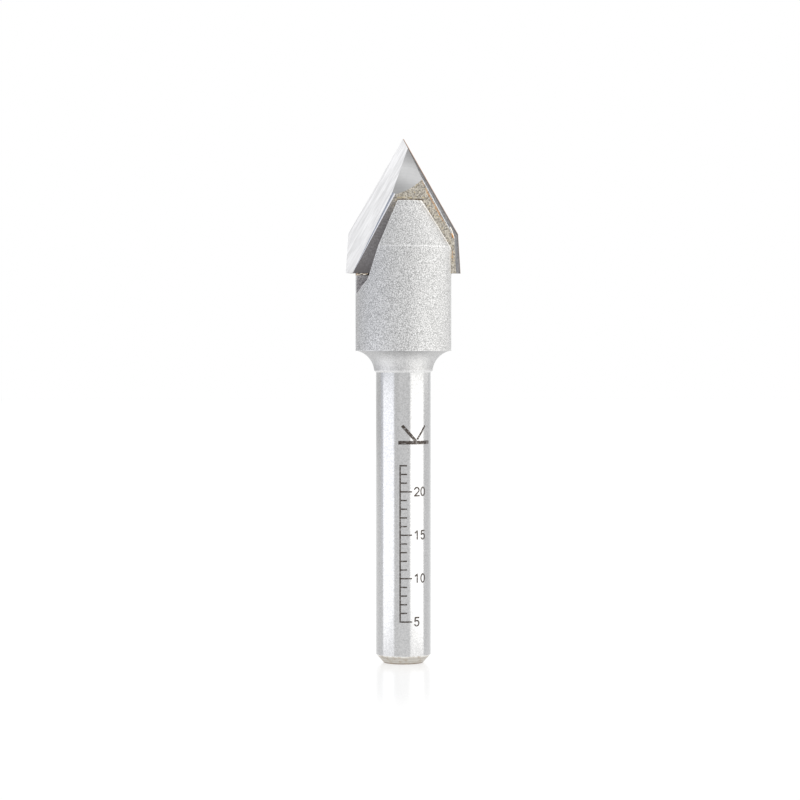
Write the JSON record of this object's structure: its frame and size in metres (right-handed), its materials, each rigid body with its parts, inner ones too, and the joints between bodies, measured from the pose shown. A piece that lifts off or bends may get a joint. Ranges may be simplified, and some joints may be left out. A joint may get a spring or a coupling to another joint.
{
  "type": "v groove router bit",
  "caption": "V groove router bit: a carbide point brazed across the head of a round steel shank, ground to cut a sharp V-shaped groove or a bevel in wood.",
  "frame": {"origin": "centre of the flat end of the shank, on the surface that the bit stands on", "axes": "+Z along the tool axis from the shank end to the point; the front cutting edge lies on the -X side with its ground face towards -Y, the back one on the +X side with its ground face towards +Y"},
  "size_m": [0.0134, 0.011, 0.0607],
  "materials": {
    "steel": "ground bright on the shank, matt and grainy from blasting on the neck and the head",
    "carbide": "tungsten carbide: ground bright on the bands beside the edges, on the flanks and in the gash, dull grey as sintered elsewhere",
    "braze": "dull brazing alloy"
  },
  "bodies": {
    "root": {"body": "steel", "cutter_plate": "carbide", "braze_joint": "braze"}
  },
  "joints": []
}
